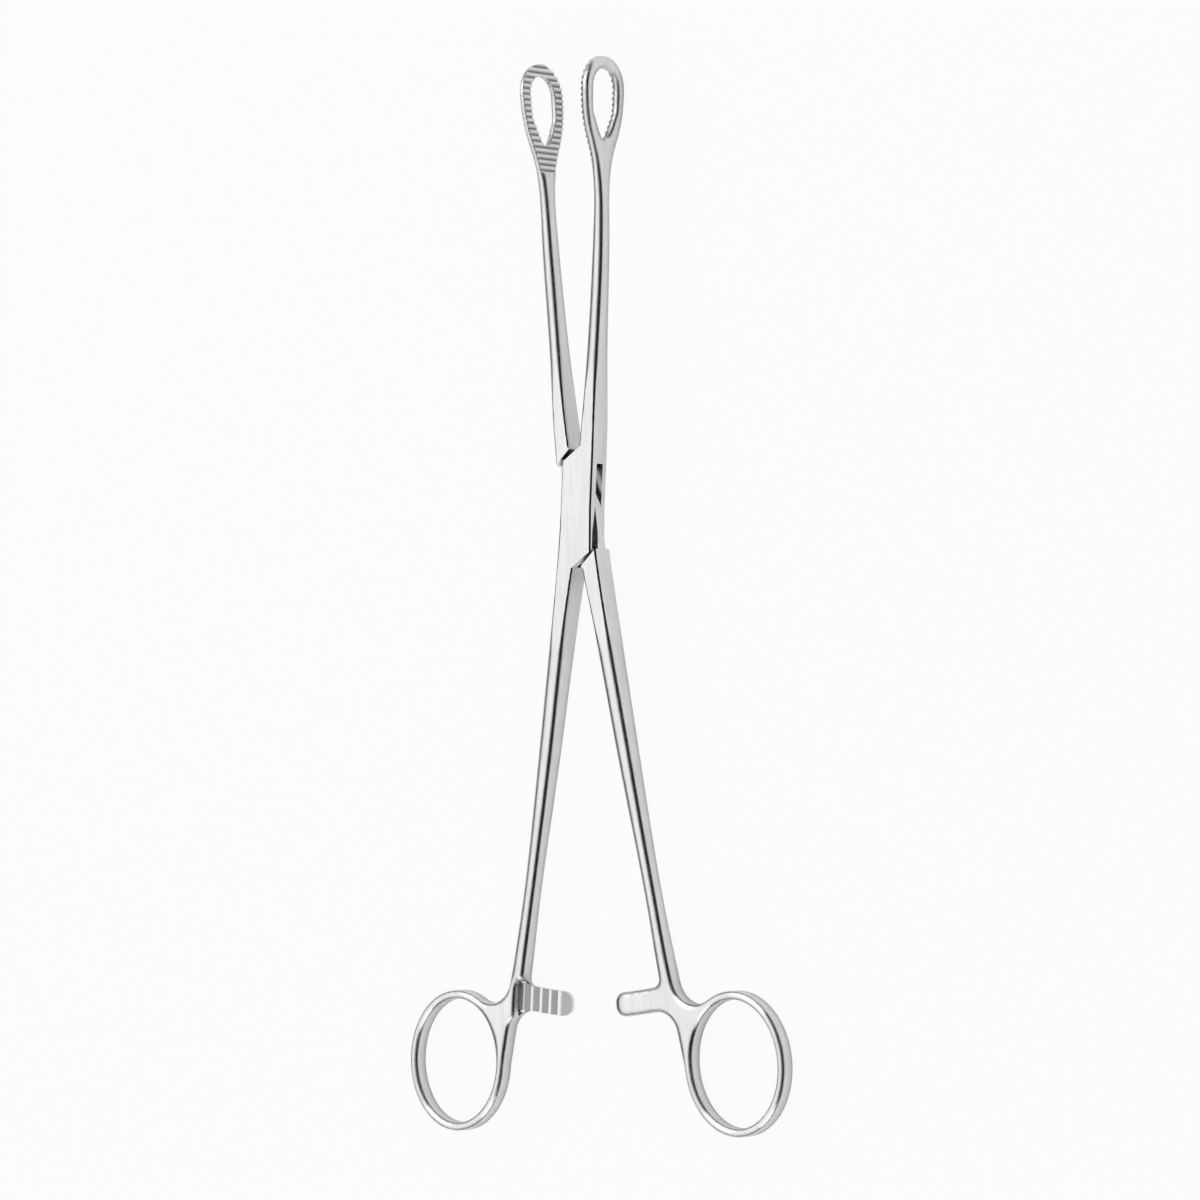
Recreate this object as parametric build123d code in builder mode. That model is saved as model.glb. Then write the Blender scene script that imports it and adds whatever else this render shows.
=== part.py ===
from build123d import *
import os
from math import cos, radians, sin, sqrt, tan

# Sponge holding forceps, lying flat. Millimetres and degrees.
# +X is the opening direction, +Y points to the jaws, +Z is the pivot axis and points up.
# The origin is on the pivot axis, in the plane of the lock's flat underside.
# Each half is drawn closed, as a right jaw with a left handle, and is turned about the pivot
# by half of the opening. The tongue half is the mirror image of that blank.

rest_opening = 9.6  # angle between the halves as shown, zero with the jaw tips touching
tip_clearance = 0.06  # from each jaw tip to the middle plane when closed

# Jaws
jaw_tip = 103.2  # pivot to tip
loop_radius = 7.2  # half width of the round end of the loop
loop_band = 2.75  # width of the band around the window
window_length = 16.4
window_foot_radius = 1.5
window_edge_radius = 0.45  # on the outer side of the loop
jaw_thickness = 1.65  # at the loop, over the ridges
heel_thickness = 1.95  # where the serrated face ends
serrated_length = 25.4
face_lean = 1.5  # the tips touch before the heels
ridge_count = 19
ridge_depth = 0.42
face_stock = 0.95  # left on the blank for cutting the serrated face

# Shanks
jaw_shank_x = 2.45  # centreline of the jaw shank, parallel to Y when closed
jaw_shank_width = (3.8, 2.7)  # beside the lock, and thinnest
jaw_shank_thickness = (4.85, 3.9, 3.6)  # from the lock up
neck_y = 12  # where the jaw shank leaves the lock
handle_lean = 6.02  # handle shank against Y when closed
handle_shank_x = 0.65  # where its centreline meets the X axis
handle_shank_width = (3.6, 2.9)  # halfway down, and above the web
handle_shank_thickness = 4.85  # not quite halfway down
edge_radius = 0.8

# Box lock
lock_half_width = 4.5
lock_thickness = 5.8
lock_flat = 17  # the faces are flat this far from the pivot
tongue_thickness = 2.1
slot_clearance = 0.05  # each side of the tongue
shoulder_angle = 37.7  # shoulders against X
shoulder_reach = 10.7  # pivot to the shoulder of the cheeks
shoulder_clearance = 0.12
tongue_relief = 1.05
pin_radius = 1.5
pin_head_radius = 2.1
pin_head_depth = 0.6
pin_fit = 0.03  # radial, in the tongue

# Finger rings
ring_offset = 15.12  # from the line of the shank to the middle of the ring
ring_below_bar = 15.7
ring_half_width = 11.9  # inside
ring_half_height = 14.4  # inside
ring_band = 1.9
ring_thickness = 4.2

# Ratchet bars
bar_radius = 113.5  # pivot to the middle of the bar
bar_height = 5.6
bar_tip_x = 2.2  # past the middle plane when closed
bar_root_offset = 0.15  # the toothed side is cut back to this far past the line of the shank
bar_tip_radius = 2.4
tooth_pitch = 2.65
tooth_count = 4
first_tooth_x = -1.45
tooth_depth = 0.8
tooth_drop = 0.3  # length of a tooth's steep side
tooth_land = 0.5  # flat left on each crest
ratchet_clearance = 0.1  # from each bar's crests to the middle of its thickness

# Levels of the middle of the instrument and the places that follow from the sizes above
mid_level = lock_thickness / 2
half_turn = rest_opening / 2
loop_centre = jaw_tip - loop_radius
window_radius = loop_radius - loop_band
window_foot = jaw_tip - loop_band - window_length
heel_y = jaw_tip - serrated_length
ring_y = -bar_radius - ring_below_bar
ring_x = handle_shank_x - ring_y * tan(radians(handle_lean)) + ring_offset
bar_root_x = handle_shank_x + bar_radius * tan(radians(handle_lean)) + bar_root_offset
bar_cut = 1.5 * bar_height + 1.6  # from below the bar to the corner above it
half_tall = loop_radius + 1  # from the middle past every face
half_wide = ring_x + ring_half_width + 2 * ring_band  # the same sideways
lowest = Plane.XY.offset(mid_level - half_tall)
leftmost = Plane(origin=(-half_wide, 0, mid_level), x_dir=(0, 1, 0), z_dir=(1, 0, 0))


def shoulder_y(x):
    """Height of the upper left shoulder line of the cheeks at x."""
    return (shoulder_reach + x * sin(radians(shoulder_angle))) / cos(radians(shoulder_angle))


def handle_x(y):
    """Centreline of the handle shank at y, on the left."""
    return -handle_shank_x + y * tan(radians(handle_lean))


def face_x(y):
    """Serrated face of the right jaw when closed."""
    return tip_clearance + (jaw_tip - y) * sin(radians(face_lean))


def handle_edge(y, half_width):
    """Point beside the centreline of the handle shank."""
    return (handle_x(y) + half_width, y)


def jaw_y(share):
    """Place along the jaw shank, from 0 at the lock to 1 at the serrated face."""
    return neck_y + share * (heel_y - neck_y)


def handle_y(share):
    """Place along the handle shank, from 0 at the pivot to 1 at the ratchet bar."""
    return -share * bar_radius


def on_bar(radius, x):
    """Point of the ratchet bar on an arc about the pivot."""
    return (x, -sqrt(radius**2 - x**2))


def plan_blank():
    """Plan of a half: right jaw, lock, left handle with its web, bar and ring."""
    jaw_wide = jaw_shank_width[0] / 2
    jaw_thin = jaw_shank_width[1] / 2
    crotch_x = 0.2
    flare = 0.4  # the lock widens a little to the shoulder of the handle
    foot_corner = (lock_half_width + flare, -shoulder_y(-lock_half_width - flare))
    foot_crotch = (0, -shoulder_y(0))
    tip_end = jaw_tip + 2
    mid_half, low_half = handle_shank_width[0] / 2, handle_shank_width[1] / 2
    web_top = handle_y(0.916)
    web_inner = low_half
    web_outer = -low_half - 0.25
    ring_side = -ring_x + ring_half_width + ring_band
    with BuildSketch(lowest) as plan:
        with BuildLine():
            jaw_outer = Spline(
                (face_x(tip_end) + jaw_thickness, tip_end),
                (face_x(loop_centre) + jaw_thickness, loop_centre),
                (face_x(heel_y) + heel_thickness, heel_y),
                (jaw_shank_x + jaw_thin - 0.15, jaw_y(0.76)),
                (jaw_shank_x + jaw_wide - 0.3, jaw_y(0.32)),
                (lock_half_width, neck_y),
                tangents=((0, -1), (0, -1)),
            )
            Polyline(jaw_outer @ 1, (lock_half_width, 0), foot_corner, foot_crotch)
            handle_inner = Spline(
                foot_crotch,
                handle_edge(handle_y(0.194), mid_half - 0.05),
                handle_edge(handle_y(0.493), mid_half),
                handle_edge(handle_y(0.749), low_half),
                handle_edge(web_top, web_inner),
            )
            Line(handle_inner @ 1, handle_edge(web_top, web_outer))
            handle_outer = Spline(
                handle_edge(web_top, web_outer),
                handle_edge(handle_y(0.749), -low_half),
                handle_edge(handle_y(0.493), -mid_half),
                handle_edge(handle_y(0.247), -mid_half - 0.5),
                (-lock_half_width, 0),
                tangents=((0.13, 1), (0, 1)),
            )
            Polyline(
                handle_outer @ 1,
                (-lock_half_width, shoulder_y(-lock_half_width)),
                (crotch_x, shoulder_y(crotch_x)),
            )
            jaw_inner = Spline(
                (crotch_x, shoulder_y(crotch_x)),
                (jaw_shank_x - jaw_wide + 0.1, jaw_y(0.152)),
                (jaw_shank_x - jaw_thin - 0.15, jaw_y(0.608)),
                (jaw_shank_x - jaw_thin - 0.3, jaw_y(0.866)),
                (face_x(heel_y) - 0.3, heel_y + 1),
                (face_x(loop_centre) - face_stock, loop_centre),
                (face_x(tip_end) - face_stock, tip_end),
            )
            Line(jaw_inner @ 1, jaw_outer @ 0)
        make_face()
        # Ratchet bar, an arc about the pivot
        with BuildLine():
            top = bar_radius - bar_height / 2
            foot = bar_radius + bar_height / 2
            root_x = -bar_root_x - 1.2
            middle_x = -bar_root_x / 2
            ThreePointArc(on_bar(top, bar_tip_x), on_bar(top, middle_x), on_bar(top, root_x))
            Line(on_bar(top, root_x), on_bar(foot, root_x))
            ThreePointArc(on_bar(foot, root_x), on_bar(foot, middle_x), on_bar(foot, bar_tip_x))
            Line(on_bar(foot, bar_tip_x), on_bar(top, bar_tip_x))
        make_face()
        # Web between shank, bar and ring, tangent to the side of the ring
        with BuildLine():
            Polyline(
                handle_edge(web_top, web_inner),
                handle_edge(-bar_radius, web_inner),
                (ring_side + 2, ring_y + 14),
                (ring_side, ring_y),
                (ring_side - 2, ring_y),
                (ring_side - 1.1, ring_y + 4),
                handle_edge(web_top, web_outer),
                close=True,
            )
        make_face()
        with Locations((-ring_x, ring_y)):
            Ellipse(ring_half_width + ring_band, ring_half_height + ring_band)
        # Hollows between the arms of the web, and the round tip of the bar
        hollow(plan, (ring_side - 0.5, ring_y + 6), 6.4)
        hollow(plan, (ring_side + 1.9, ring_y + 13.4), 5.6)
        hollow(plan, on_bar(top, -bar_root_x + 2), 1.8)
        hollow(plan, on_bar(top, bar_tip_x), bar_tip_radius)
        hollow(plan, on_bar(foot, bar_tip_x), bar_tip_radius)
        with Locations((-ring_x, ring_y)):
            Ellipse(ring_half_width, ring_half_height, mode=Mode.SUBTRACT)
    return plan.sketch


def hollow(plan, place, radius):
    """Rounds the corner of the plan that is nearest to place."""
    corner = plan.vertices().sort_by_distance((place[0], place[1], lowest.origin.Z))[0]
    fillet(corner, radius)


def side_blank():
    """Side view of a half, along Y: ring, shanks, lock, neck and loop of the jaw."""
    half_lock = lock_thickness / 2
    half_ring = ring_thickness / 2
    handle_end = ring_y - ring_half_height - ring_band - 2
    web_flat = handle_y(0.93)
    with BuildSketch(leftmost) as side:
        with BuildLine():
            Polyline((handle_end, 0), (handle_end, half_ring), (web_flat, half_ring))
            handle_side = Spline(
                (web_flat, half_ring),
                (handle_y(0.82), half_ring - 0.18),
                (handle_y(0.661), half_ring - 0.08),
                (handle_y(0.44), handle_shank_thickness / 2),
                (-lock_flat, half_lock),
                tangents=((1, 0), (1, 0)),
            )
            Line(handle_side @ 1, (lock_flat, half_lock))
            jaw_side = Spline(
                (lock_flat, half_lock),
                (jaw_y(0.32), jaw_shank_thickness[0] / 2),
                (jaw_y(0.578), jaw_shank_thickness[1] / 2),
                (jaw_y(0.805), jaw_shank_thickness[2] / 2),
                (heel_y - 3, loop_radius / 2 - 1.45),
                (heel_y + 3.3, loop_radius / 2),
                (heel_y + 8.4, loop_radius - 1.5),
                (loop_centre, loop_radius),
                tangents=((1, 0), (1, 0)),
            )
            RadiusArc(jaw_side @ 1, (jaw_tip, 0), loop_radius)
            mirror(about=Plane.XZ)
        make_face()
    return side.sketch


def jaw_window():
    """Window of the loop, a teardrop with its foot towards the shank."""
    with BuildSketch(leftmost) as window:
        with BuildLine():
            flank = Spline(
                (window_foot, 0),
                (window_foot + 0.9, window_foot_radius),
                (window_foot + 5, window_radius - 0.85),
                (loop_centre, window_radius),
                tangents=((0, 1), (1, 0)),
            )
            RadiusArc(flank @ 1, (jaw_tip - loop_band, 0), window_radius)
            mirror(about=Plane.XZ)
        make_face()
    return window.sketch


def serration_cut():
    """What is cut from the blank in front of the serrated face: a sawtooth in plan."""
    lean = radians(face_lean)
    pitch = serrated_length / ridge_count

    def on_face(along, depth):
        return (
            face_x(jaw_tip - along * cos(lean)) + depth * cos(lean),
            jaw_tip - along * cos(lean) + depth * sin(lean),
        )

    points = [on_face(-3, 0)]
    for ridge in range(ridge_count):
        points.append(on_face((ridge + 0.1) * pitch, 0))
        points.append(on_face((ridge + 0.5) * pitch, ridge_depth))
        points.append(on_face((ridge + 0.9) * pitch, 0))
    points.append(on_face(serrated_length, 0))
    points.append(on_face(serrated_length + 3, -face_stock))
    points.append(on_face(-3, -3 * face_stock))
    with BuildSketch(lowest) as teeth:
        with BuildLine():
            Polyline(*points, close=True)
        make_face()
    return teeth.sketch


def is_long_edge(edge):
    """True for the edges that run round the plan, apart from the four shoulders."""
    close = 0.1
    steep = 0.9
    middle = edge.center()
    along = edge.tangent_at(0.5)
    lean = radians(shoulder_angle)
    offset = abs(middle.Y * cos(lean) - middle.X * sin(lean))
    on_shoulder = abs(offset - shoulder_reach) < close
    across_jaw = abs(along.X) > steep and middle.Y > heel_y
    return abs(along.Z) < steep and not on_shoulder and not across_jaw


def is_window_rim(edge):
    """True for the edges of the window on the outer side of the loop."""
    middle = edge.center()
    return middle.X > face_x(middle.Y) + jaw_thickness / 2 and edge.length > jaw_thickness


def half_blank():
    """Right jaw with left handle, closed: rounded, windowed and serrated."""
    with BuildPart() as blank:
        extrude(plan_blank(), amount=2 * half_tall)
        extrude(side_blank(), amount=2 * half_wide, mode=Mode.INTERSECT)
        fillet(blank.edges().filter_by(is_long_edge), edge_radius)
        extrude(jaw_window(), amount=2 * half_wide, mode=Mode.SUBTRACT)
        rim = blank.edges(Select.LAST).filter_by(is_window_rim)
        fillet(rim, window_edge_radius)
        extrude(serration_cut(), amount=2 * half_tall, mode=Mode.SUBTRACT)
    return blank.part


def ratchet_cut(hand):
    """What is cut from the toothed side of a bar. Hand 1 is the left bar, cut from above,
    and hand -1 is the right bar, cut from below."""
    crest = -ratchet_clearance
    valley = crest - tooth_depth
    outside = ring_thickness
    points = [(bar_tip_x + 1, outside), (bar_tip_x + 1, valley), (first_tooth_x + 0.4, crest)]
    for tooth in range(tooth_count):
        x = first_tooth_x - tooth * tooth_pitch
        points.append((x, crest))
        points.append((x - tooth_drop, valley))
        points.append((x - tooth_pitch + tooth_land, crest))
    points.append((-bar_root_x, crest))
    points.append((-bar_root_x, outside))
    front = Plane(
        origin=(0, -bar_radius - bar_height, mid_level), x_dir=(1, 0, 0), z_dir=(0, -1, 0)
    )
    with BuildSketch(front) as profile:
        with BuildLine():
            Polyline(*[(hand * x, hand * level) for x, level in points], close=True)
        make_face()
    return profile.sketch


blank = half_blank()

# Rivet through the lock, flush with both cheeks and spread into their countersinks
with BuildPart() as pivot_pin:
    with BuildSketch(Plane.XZ):
        with BuildLine():
            Polyline(
                (0, 0),
                (pin_head_radius, 0),
                (pin_radius, pin_head_depth),
                (pin_radius, lock_thickness - pin_head_depth),
                (pin_head_radius, lock_thickness),
                (0, lock_thickness),
                close=True,
            )
        make_face()
    revolve(axis=Axis.Z)
pivot_pin.part.label = "pivot_pin"

# Half with the slotted box, closed: right jaw and left handle
with BuildPart() as box_closed:
    add(blank)
    slot_thickness = tongue_thickness + 2 * slot_clearance
    slot_floor = mid_level - slot_thickness / 2
    with BuildSketch(Plane.XY.offset(slot_floor).rotated((0, 0, -shoulder_angle))):
        Rectangle(6 * lock_half_width, 2 * (shoulder_reach + shoulder_clearance))
    extrude(amount=slot_thickness, mode=Mode.SUBTRACT)
    add(pivot_pin.part, mode=Mode.SUBTRACT)
    extrude(ratchet_cut(1), amount=-bar_cut, mode=Mode.SUBTRACT)
with BuildPart() as box_half:
    add(box_closed.part, rotation=(0, 0, -half_turn))
box_half.part.label = "box_half"

# Half with the tongue, closed: left jaw and right handle
with BuildPart() as tongue_closed:
    mirror(blank, about=Plane.YZ)
    tongue_top = mid_level + tongue_thickness / 2
    for level in (tongue_top, tongue_top - tongue_thickness - half_tall):
        with BuildSketch(Plane.XY.offset(level).rotated((0, 0, shoulder_angle))):
            Rectangle(6 * lock_half_width, 2 * (shoulder_reach + shoulder_clearance))
        extrude(amount=half_tall, mode=Mode.SUBTRACT)
    # Relief beside the ends of the slot, the same on both sides of the pin
    for turn in (0, 180):
        with BuildSketch(lowest.rotated((0, 0, turn))):
            with BuildLine():
                Polyline(
                    (lock_half_width, 0),
                    (lock_half_width - tongue_relief, shoulder_reach),
                    (lock_half_width - tongue_relief, shoulder_reach + 4),
                    (lock_half_width + 1, shoulder_reach + 4),
                    (lock_half_width + 1, 0),
                    close=True,
                )
            make_face()
        extrude(amount=2 * half_tall, mode=Mode.SUBTRACT)
    with BuildSketch(lowest):
        Circle(pin_radius + pin_fit)
    extrude(amount=2 * half_tall, mode=Mode.SUBTRACT)
    extrude(ratchet_cut(-1), amount=-bar_cut, mode=Mode.SUBTRACT)
with BuildPart() as tongue_half:
    add(tongue_closed.part, rotation=(0, 0, half_turn))
tongue_half.part.label = "tongue_half"

os.makedirs("parts", exist_ok=True)
export_step(box_half.part, "parts/box_half.step")
export_step(tongue_half.part, "parts/tongue_half.step")
export_step(pivot_pin.part, "parts/pivot_pin.step")
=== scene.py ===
import math

import bpy
from mathutils import Matrix, Vector


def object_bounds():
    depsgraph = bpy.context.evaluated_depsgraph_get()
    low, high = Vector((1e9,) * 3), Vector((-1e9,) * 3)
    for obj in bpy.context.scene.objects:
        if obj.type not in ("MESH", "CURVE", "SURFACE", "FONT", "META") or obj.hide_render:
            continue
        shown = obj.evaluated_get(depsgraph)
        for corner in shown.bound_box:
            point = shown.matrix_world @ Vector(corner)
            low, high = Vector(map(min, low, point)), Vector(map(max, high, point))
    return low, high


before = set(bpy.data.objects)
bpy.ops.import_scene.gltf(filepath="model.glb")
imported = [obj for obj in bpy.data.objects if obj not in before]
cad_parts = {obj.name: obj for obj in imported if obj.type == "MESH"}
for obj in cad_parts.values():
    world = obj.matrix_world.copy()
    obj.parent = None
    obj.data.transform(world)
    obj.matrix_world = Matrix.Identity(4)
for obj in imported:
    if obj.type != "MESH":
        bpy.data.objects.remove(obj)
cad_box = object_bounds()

# Sizes of the forceps, in metres and radians, that place the looks. Half turn is half of the
# opening in the photo, and the middle level is halfway up the lock.
MM = 0.001
MID_LEVEL = 2.9 * MM
PIVOT = Vector((0.0, 0.0, MID_LEVEL))
LOWEST = cad_box[0][2]
HALF_TURN = math.radians(4.8)

# Serrated faces of the jaws: their reach back from the tip, lean and depth, and how far
# behind the face the crests and the valleys lie
JAW_TIP = 103.2 * MM
SERRATED_LENGTH = 25.4 * MM
FACE_LEAN = math.radians(1.5)
FACE_DEPTH = 0.5 * MM
SERRATION_CREST_TO_VALLEY = (0.12 * MM, 0.4 * MM)

# Toothed side of the ratchet bars: distance from the pivot, root, how far past the middle
# level it may reach, and how far into the bar from there the crests end and valleys begin
BAR_RADII = (110.4 * MM, 116.6 * MM)
BAR_ROOT = 12.9 * MM
BAR_PAST_MIDDLE = 0.1 * MM
TOOTH_CREST_TO_VALLEY = (0.11 * MM, 0.24 * MM)

# Components of the normal that tell a machined face from the faces beside it
FACE_INWARD = -0.3
TOOTH_UPWARD = -0.5
ROOT_WALL_UPWARD = 0.3

# Distances along the forceps, from the pivot
LOCK_REACH = 22.0 * MM
SHANK_FROM = 34.0 * MM
LOOP_FROM = 70.0 * MM

# Colours of the steel
STEEL_DARKER = (0.80, 0.803, 0.806, 1)
STEEL_LIGHTER = (0.87, 0.87, 0.873, 1)
# Painted highlight on the crests of the teeth and serrations and on the root wall of the
# ratchet bar; also the colour of the brighter worn edges
BRIGHT_WEAR_AND_HIGHLIGHT = (0.93, 0.93, 0.93, 1)
POLISH_LINE = (0.58, 0.58, 0.585, 1)
GROUND_DARKER = (0.38, 0.38, 0.385, 1)
GROUND_LIGHTER = (0.52, 0.52, 0.525, 1)
# Painted shade, near black, in joints, crevices, serration grooves and tooth roots, by how
# enclosed they are
CREVICE_SHADE = (0.03, 0.03, 0.03, 1)
# Painted shade on the walls of the jaw windows
WINDOW_WALL_SHADE = (0.33, 0.33, 0.335, 1)

# Noise scales, of streaks along the forceps, cloudy patches and grain
STREAK_STRETCH = (900.0, 60.0, 900.0)
CLOUD_SCALE = 90.0
GRAIN_SCALE = 4000.0

# Each look fades in over the first range, of a noise or a measure, up to the shares or
# roughnesses in the second
NOISE_MIDDLE = (0.3, 0.7)
WORN_POINTINESS = (0.5, 0.56)
WORN_SHARE = (0.0, 0.5)
LINE_NOISE = (0.40, 0.64)
LINE_SHARE = (0.0, 0.22)
BASE_ROUGHNESS = (0.13, 0.18)
STREAK_ROUGHNESS = (-0.03, 0.04)
GROUND_ROUGHNESS = 0.22
WHOLE = (0.0, 1.0)
FADING = (1.0, 0.0)

# Occlusion for the painted shade in crevices and on the window walls: how far it looks, and
# the openness over which the darkening ends
CREVICE_SHADE_DISTANCE = 2.2 * MM
CREVICE_SHADE_OPENNESS = (0.22, 0.55)
WALL_DISTANCE = 6.0 * MM
WALL_OPENNESS = (0.55, 0.88)
OCCLUSION_SAMPLES = 8

# Relief of the polishing lines, and the radius with which edges are shaded
RELIEF_STRENGTH = 0.06
RELIEF_HEIGHT = 0.02 * MM
LOCK_EDGE = 0.05 * MM
SHANK_EDGE = 2.8 * MM
EDGE_SAMPLES = 16

scene = bpy.context.scene
scene.view_settings.view_transform = "Standard"


# Node helpers

def new_material(name):
    material = bpy.data.materials.new(name)
    material.use_nodes = True
    tree = material.node_tree
    tree.nodes.clear()
    return material, tree


def node(tree, kind, **settings):
    made = tree.nodes.new(kind)
    for key, value in settings.items():
        setattr(made, key, value)
    return made


def link(tree, source, target):
    tree.links.new(source, target)


def to_output(tree, shader, kind="ShaderNodeOutputMaterial"):
    out = node(tree, kind)
    link(tree, shader, out.inputs["Surface"])


def noise(tree, vector, scale, detail, roughness=0.5):
    made = node(tree, "ShaderNodeTexNoise")
    made.inputs["Scale"].default_value = scale
    made.inputs["Detail"].default_value = detail
    made.inputs["Roughness"].default_value = roughness
    link(tree, vector, made.inputs["Vector"])
    return made.outputs["Fac"]


def spread(tree, value, over, to):
    """Turns the range over into the range to, without going past its ends."""
    made = node(tree, "ShaderNodeMapRange")
    made.inputs["From Min"].default_value = over[0]
    made.inputs["From Max"].default_value = over[1]
    made.inputs["To Min"].default_value = to[0]
    made.inputs["To Max"].default_value = to[1]
    link(tree, value, made.inputs["Value"])
    return made.outputs["Result"]


def math_node(tree, operation, first, second=0):
    """Either value may be a number or a socket."""
    made = node(tree, "ShaderNodeMath", operation=operation)
    for socket, value in zip(made.inputs, (first, second)):
        if isinstance(value, (int, float)):
            socket.default_value = value
        else:
            link(tree, value, socket)
    return made.outputs["Value"]


def times(tree, first, second):
    return math_node(tree, "MULTIPLY", first, second)


def either(tree, first, second):
    return math_node(tree, "MAXIMUM", first, second)


def less(tree, first, second):
    return math_node(tree, "LESS_THAN", first, second)


def greater(tree, first, second):
    return math_node(tree, "GREATER_THAN", first, second)


def all_of(tree, *masks):
    result = masks[0]
    for mask in masks[1:]:
        result = times(tree, result, mask)
    return result


def tinted(tree, factor, first, second):
    """Colour first where factor is 0 and second where it is 1; either may be a socket."""
    made = node(tree, "ShaderNodeMix", data_type="RGBA")
    link(tree, factor, made.inputs["Factor"])
    for socket, value in ((made.inputs[6], first), (made.inputs[7], second)):
        if isinstance(value, tuple):
            socket.default_value = value
        else:
            link(tree, value, socket)
    return made.outputs[2]


def blended(tree, share, first, second):
    """Shader first where share is 0 and second where it is 1."""
    mix = node(tree, "ShaderNodeMixShader")
    link(tree, share, mix.inputs["Fac"])
    link(tree, first, mix.inputs[1])
    link(tree, second, mix.inputs[2])
    return mix.outputs["Shader"]


def plain_shader(tree, kind, colour):
    """Output of a shader of one colour, with any strength left at 1."""
    made = node(tree, kind)
    made.inputs["Color"].default_value = colour
    return made.outputs[0]


# Materials of the forceps

def closed_place(tree, coords, hand):
    """Across, along and height on the closed half, mirrored to a right jaw, left handle."""
    turn = node(tree, "ShaderNodeMapping", vector_type="POINT")
    turn.inputs["Rotation"].default_value = (0, 0, hand * HALF_TURN)
    link(tree, coords.outputs["Object"], turn.inputs["Vector"])
    split = node(tree, "ShaderNodeSeparateXYZ")
    link(tree, turn.outputs["Vector"], split.inputs["Vector"])
    return times(tree, split.outputs["X"], hand), split.outputs["Y"], split.outputs["Z"]


def machined_masks(tree, coords, closed, hand):
    """The first is 1 on the serrated face and the toothed side of the bar and 0 elsewhere.
    The second is the share of painted highlight, from 0 in the valleys to 1 on the crests and
    on the wall at the root of the bar."""
    across, along, height = closed
    facing = node(tree, "ShaderNodeSeparateXYZ")
    link(tree, coords.outputs["Normal"], facing.inputs["Vector"])
    upward = times(tree, facing.outputs["Z"], hand)

    to_tip = math_node(tree, "SUBTRACT", JAW_TIP, along)
    face = times(tree, to_tip, math.sin(FACE_LEAN))
    behind_face = math_node(tree, "SUBTRACT", across, face)
    serrated = all_of(
        tree,
        less(tree, to_tip, SERRATED_LENGTH),
        less(tree, behind_face, FACE_DEPTH),
        less(tree, times(tree, facing.outputs["X"], hand), FACE_INWARD),
    )

    squares = math_node(tree, "ADD", times(tree, across, across), times(tree, along, along))
    radius = math_node(tree, "SQRT", squares)
    above_middle = math_node(tree, "SUBTRACT", height, MID_LEVEL)
    toothed = all_of(
        tree,
        less(tree, along, 0),
        greater(tree, radius, BAR_RADII[0]),
        less(tree, radius, BAR_RADII[1]),
        greater(tree, across, -BAR_ROOT),
        less(tree, times(tree, above_middle, hand), BAR_PAST_MIDDLE),
        greater(tree, upward, TOOTH_UPWARD),
    )

    into_bar = times(tree, above_middle, -hand)
    serration_crests = spread(tree, behind_face, SERRATION_CREST_TO_VALLEY, FADING)
    tooth_crests = spread(tree, into_bar, TOOTH_CREST_TO_VALLEY, FADING)
    crests = either(
        tree,
        all_of(tree, serrated, serration_crests),
        all_of(tree, toothed, tooth_crests),
    )
    root_wall = all_of(tree, toothed, less(tree, upward, ROOT_WALL_UPWARD))
    return either(tree, serrated, toothed), either(tree, crests, root_wall)


def polished_colour(tree, clouds, streaks):
    """Faint cloudy patches, brighter worn edges and fine darker polishing lines."""
    ramp = node(tree, "ShaderNodeValToRGB")
    shades = (STEEL_DARKER, STEEL_LIGHTER)
    for stop, position, shade in zip(ramp.color_ramp.elements, NOISE_MIDDLE, shades):
        stop.position = position
        stop.color = shade
    link(tree, clouds, ramp.inputs["Fac"])
    geometry = node(tree, "ShaderNodeNewGeometry")
    worn = spread(tree, geometry.outputs["Pointiness"], WORN_POINTINESS, WORN_SHARE)
    colour = tinted(tree, worn, ramp.outputs["Color"], BRIGHT_WEAR_AND_HIGHLIGHT)
    lines = spread(tree, streaks, LINE_NOISE, LINE_SHARE)
    return tinted(tree, lines, colour, POLISH_LINE)


def openness(tree, distance, over, only_local=False):
    """0 in a hollow and 1 in the open, over a range of the occlusion."""
    made = node(
        tree,
        "ShaderNodeAmbientOcclusion",
        samples=OCCLUSION_SAMPLES,
        only_local=only_local,
    )
    made.inputs["Distance"].default_value = distance
    return spread(tree, made.outputs["AO"], over, WHOLE)


def rounded_normal(tree, along, machined):
    """The shanks, jaws and rings are rounder than the lock, and the teeth are crisp."""
    distance = math_node(tree, "ABSOLUTE", along)
    away = spread(tree, distance, (LOCK_REACH, SHANK_FROM), (0.0, SHANK_EDGE))
    plain = math_node(tree, "SUBTRACT", 1.0, machined)
    radius = math_node(tree, "ADD", times(tree, away, plain), LOCK_EDGE)
    bevel = node(tree, "ShaderNodeBevel", samples=EDGE_SAMPLES)
    link(tree, radius, bevel.inputs["Radius"])
    return bevel.outputs["Normal"]


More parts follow.
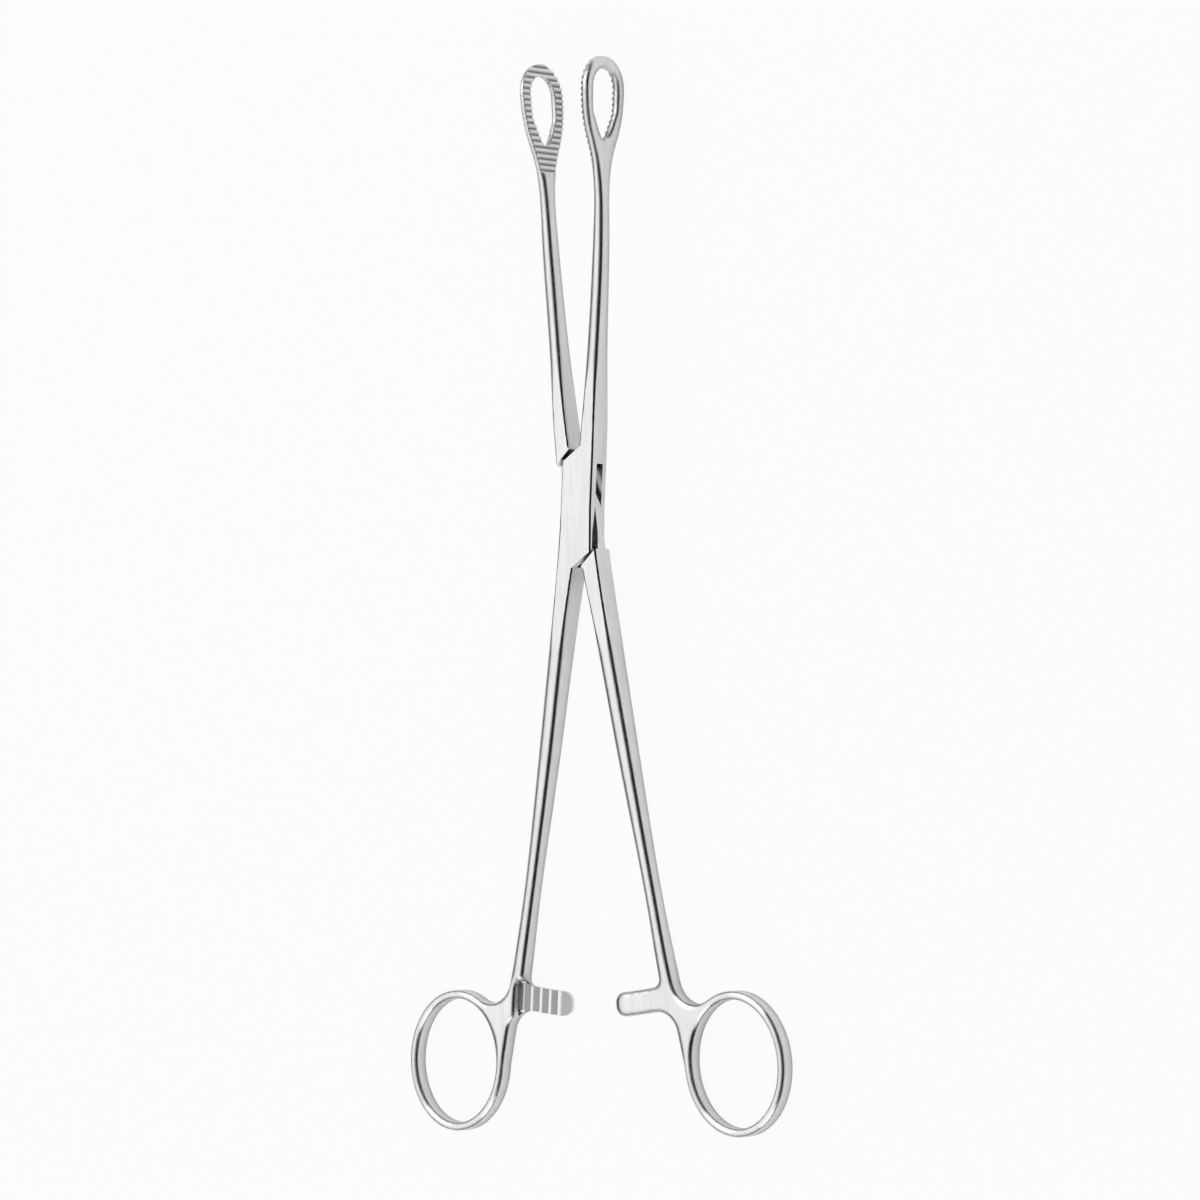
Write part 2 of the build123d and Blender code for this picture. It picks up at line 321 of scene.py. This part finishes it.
def steel(name, hand, shift):
    """Polished surgical steel, with painted shade in joints and crevices and on the walls of
    the jaw windows, and a duller ground finish on the teeth and serrations, with painted
    highlights on their crests. Hand is 1 for the box half, -1 for the tongue half and 0 for
    the pin. Shift is added to the noise scales, so that the patches of the pieces differ."""
    material, tree = new_material(name)
    coords = node(tree, "ShaderNodeTexCoord")
    place = coords.outputs["Object"]
    shader = node(tree, "ShaderNodeBsdfPrincipled")
    shader.inputs["Metallic"].default_value = 1.0
    to_output(tree, shader.outputs["BSDF"])

    stretched = node(tree, "ShaderNodeMapping")
    stretched.inputs["Scale"].default_value = STREAK_STRETCH
    link(tree, place, stretched.inputs["Vector"])
    lengthwise = stretched.outputs["Vector"]
    streaks = noise(tree, lengthwise, scale=1.0, detail=4.0, roughness=0.6)
    clouds = noise(tree, place, scale=CLOUD_SCALE + shift, detail=3.0)
    colour = polished_colour(tree, clouds, streaks)
    roughness = math_node(
        tree,
        "ADD",
        spread(tree, clouds, NOISE_MIDDLE, BASE_ROUGHNESS),
        spread(tree, streaks, NOISE_MIDDLE, STREAK_ROUGHNESS),
    )
    bump = node(tree, "ShaderNodeBump")
    bump.inputs["Strength"].default_value = RELIEF_STRENGTH
    bump.inputs["Distance"].default_value = RELIEF_HEIGHT
    link(tree, streaks, bump.inputs["Height"])
    # Painted shade: the walls of the jaw windows, and other hollows on the pin, are greyed by
    # how enclosed they are
    outside_window_shade = openness(tree, WALL_DISTANCE, WALL_OPENNESS, only_local=True)

    if hand:
        closed = closed_place(tree, coords, hand)
        along = closed[1]
        machined, painted_highlight = machined_masks(tree, coords, closed, hand)
        grain = noise(tree, place, scale=GRAIN_SCALE + shift, detail=2.0)
        ground = tinted(tree, grain, GROUND_DARKER, GROUND_LIGHTER)
        # Ground finish of the teeth and serrations, with a painted highlight on their crests
        # and on the root wall of the bar
        colour = tinted(tree, machined, colour, tinted(tree, painted_highlight, ground, BRIGHT_WEAR_AND_HIGHLIGHT))
        duller = times(tree, machined, GROUND_ROUGHNESS)
        roughness = math_node(tree, "ADD", roughness, duller)
        outside_window_shade = either(tree, outside_window_shade, less(tree, along, LOOP_FROM))
        link(tree, rounded_normal(tree, along, machined), bump.inputs["Normal"])

    # Painted shade: joints, crevices, serration grooves and tooth roots are darkened to nearly
    # black by how enclosed they are, where shade falls
    lit = openness(tree, CREVICE_SHADE_DISTANCE, CREVICE_SHADE_OPENNESS)
    colour = tinted(tree, lit, CREVICE_SHADE, colour)
    # Painted shade on the walls of the jaw windows, within the jaw loops
    colour = tinted(tree, outside_window_shade, WINDOW_WALL_SHADE, colour)
    link(tree, colour, shader.inputs["Base Color"])
    link(tree, roughness, shader.inputs["Roughness"])
    link(tree, bump.outputs["Normal"], shader.inputs["Normal"])
    return material


finishes = {
    "box_half": steel("box_half_steel_polish", hand=1, shift=0),
    "tongue_half": steel("tongue_half_steel_polish", hand=-1, shift=11),
    "pivot_pin": steel("pin_steel_polish", hand=0, shift=5),
}
for name, material in finishes.items():
    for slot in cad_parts[name].material_slots:
        slot.material = material


# Floor and world

WHITE = (1, 1, 1, 1)
FLOOR_COLOUR = (0.9, 0.9, 0.9, 1)
WORLD_GREY = (0.6, 0.6, 0.6, 1)
GLOW_TO_CAMERA = 0.93
GLOW_TO_REFLECTIONS = 0.25

# The jaw loops and the finger rings both stand on the floor, but for a small gap: it is level
# past the rings and past the jaws, and slopes a little between them
FLOOR_REACH = 3.0
FLOOR_GAP = 0.2 * MM
RING_Y = -0.116
LOOP_Y = 0.090
RING_Z = -FLOOR_GAP
LOOP_Z = LOWEST - FLOOR_GAP
STRETCHES = {
    "floor_near": ((-FLOOR_REACH, RING_Z), (RING_Y, RING_Z)),
    "floor_between": ((RING_Y, RING_Z), (LOOP_Y, LOOP_Z)),
    "floor_far": ((LOOP_Y, LOOP_Z), (FLOOR_REACH, LOOP_Z)),
}


def sheet(name, corners):
    mesh = bpy.data.meshes.new(name)
    mesh.from_pydata(corners, [], [tuple(range(len(corners)))])
    made = bpy.data.objects.new(name, mesh)
    scene.collection.objects.link(made)
    return made


def white_floor():
    """Nearly white to the camera, with a soft shadow, and darker to reflections."""
    material, tree = new_material("floor_white")
    rays = node(tree, "ShaderNodeLightPath")
    mirrored = either(tree, rays.outputs["Is Glossy Ray"], rays.outputs["Is Transmission Ray"])
    share = math_node(
        tree,
        "ADD",
        times(tree, rays.outputs["Is Camera Ray"], GLOW_TO_CAMERA),
        times(tree, mirrored, GLOW_TO_REFLECTIONS),
    )
    lit = plain_shader(tree, "ShaderNodeBsdfDiffuse", FLOOR_COLOUR)
    glowing = plain_shader(tree, "ShaderNodeEmission", WHITE)
    to_output(tree, blended(tree, share, lit, glowing))
    return material


def studio_world():
    """White to the camera and to reflections, and a plain grey light otherwise."""
    world = bpy.data.worlds.new("studio")
    world.use_nodes = True
    tree = world.node_tree
    tree.nodes.clear()
    rays = node(tree, "ShaderNodeLightPath")
    seen = either(tree, rays.outputs["Is Camera Ray"], rays.outputs["Is Glossy Ray"])
    seen = either(tree, seen, rays.outputs["Is Transmission Ray"])
    soft = plain_shader(tree, "ShaderNodeBackground", WORLD_GREY)
    white = plain_shader(tree, "ShaderNodeBackground", WHITE)
    to_output(tree, blended(tree, seen, soft, white), "ShaderNodeOutputWorld")
    return world


floor_material = white_floor()
for name, ((y_from, z_from), (y_to, z_to)) in STRETCHES.items():
    corners = [
        (-FLOOR_REACH, y_from, z_from),
        (FLOOR_REACH, y_from, z_from),
        (FLOOR_REACH, y_to, z_to),
        (-FLOOR_REACH, y_to, z_to),
    ]
    sheet(name, corners).data.materials.append(floor_material)
scene.world = studio_world()


# Lights and flags

FLAG_DARK = (0.02, 0.02, 0.02, 1)
FLAG_HALF = 2.0
FLAG_FOOT = 0.02


def softbox(name, place, size, power):
    light = bpy.data.lights.new(name, "AREA")
    light.shape = "RECTANGLE"
    light.size, light.size_y = size
    light.energy = power
    made = bpy.data.objects.new(name, light)
    made.location = place
    aim = (PIVOT - Vector(place)).to_track_quat("-Z", "Y")
    made.rotation_euler = aim.to_euler()
    scene.collection.objects.link(made)


softbox("key_top", (-0.5, 0.9, 1.3), (0.9, 0.9), 5.0)
softbox("fill_front", (0.4, -1.3, 0.9), (0.9, 0.7), 2.5)

flag_material, flag_tree = new_material("flag_dark")
to_output(flag_tree, plain_shader(flag_tree, "ShaderNodeBsdfDiffuse", FLAG_DARK))


def flag(name, corners):
    """Dark card that reflections see, but not the camera, diffuse light or shadows; it gives
    polished edges their thin dark lines."""
    made = sheet(name, corners)
    made.data.materials.append(flag_material)
    made.visible_camera = False
    made.visible_diffuse = False
    made.visible_shadow = False


def side_flag(name, x_foot, x_top, top):
    """Card along the forceps, that leans from one x at its foot to another at its top."""
    flag(name, [
        (x_foot, -FLAG_HALF, FLAG_FOOT),
        (x_foot, FLAG_HALF, FLAG_FOOT),
        (x_top, FLAG_HALF, top),
        (x_top, -FLAG_HALF, top),
    ])


def end_flag(name, y_foot, y_top, top):
    """Card across an end, that leans from one y at its foot to another at its top."""
    flag(name, [
        (-FLAG_HALF, y_foot, FLAG_FOOT),
        (FLAG_HALF, y_foot, FLAG_FOOT),
        (FLAG_HALF, y_top, top),
        (-FLAG_HALF, y_top, top),
    ])


# One at the right from the horizon to above the camera, and a lower one at the left
side_flag("flag_right", 1.8, 0.55, 1.9)
side_flag("flag_left", -1.8, -1.7, 0.8)
# And one past the jaws and one past the rings, for the edges that face along the forceps
end_flag("flag_far", 1.9, 1.7, 0.9)
end_flag("flag_near", -1.9, -1.7, 0.9)


# Camera, as fitted to the photo

PICTURE = 1200.0
SENSOR = 36.0
TURN = math.radians(38.0)
TILT = math.radians(-0.99)
ROLL = math.radians(1.86)
DISTANCE = 1.202
METRES_PER_PIXEL = 0.0002285
PIVOT_PIXEL = (582.5, 508.0)
CLIP_FROM = 0.01
CLIP_TO = 50.0

back = Vector((
    math.sin(TURN) * math.cos(TILT),
    math.sin(TILT),
    math.cos(TURN) * math.cos(TILT),
))
right = Vector((0, 1, 0)).cross(back).normalized()
up = back.cross(right)
level = Matrix.Rotation(-ROLL, 3, "Z")
aside = (PIVOT_PIXEL[0] - PICTURE / 2) * METRES_PER_PIXEL
above = -(PIVOT_PIXEL[1] - PICTURE / 2) * METRES_PER_PIXEL
place = PIVOT + level @ (DISTANCE * back - aside * right - above * up)
axes = Matrix((level @ right, level @ up, level @ back)).transposed()

lens = bpy.data.cameras.new("camera")
lens.sensor_width = SENSOR
lens.lens = DISTANCE / METRES_PER_PIXEL * SENSOR / PICTURE
lens.clip_start = CLIP_FROM
lens.clip_end = CLIP_TO
lens.dof.use_dof = False
camera = bpy.data.objects.new("camera", lens)
camera.matrix_world = Matrix.Translation(place) @ axes.to_4x4()
scene.collection.objects.link(camera)
scene.camera = camera
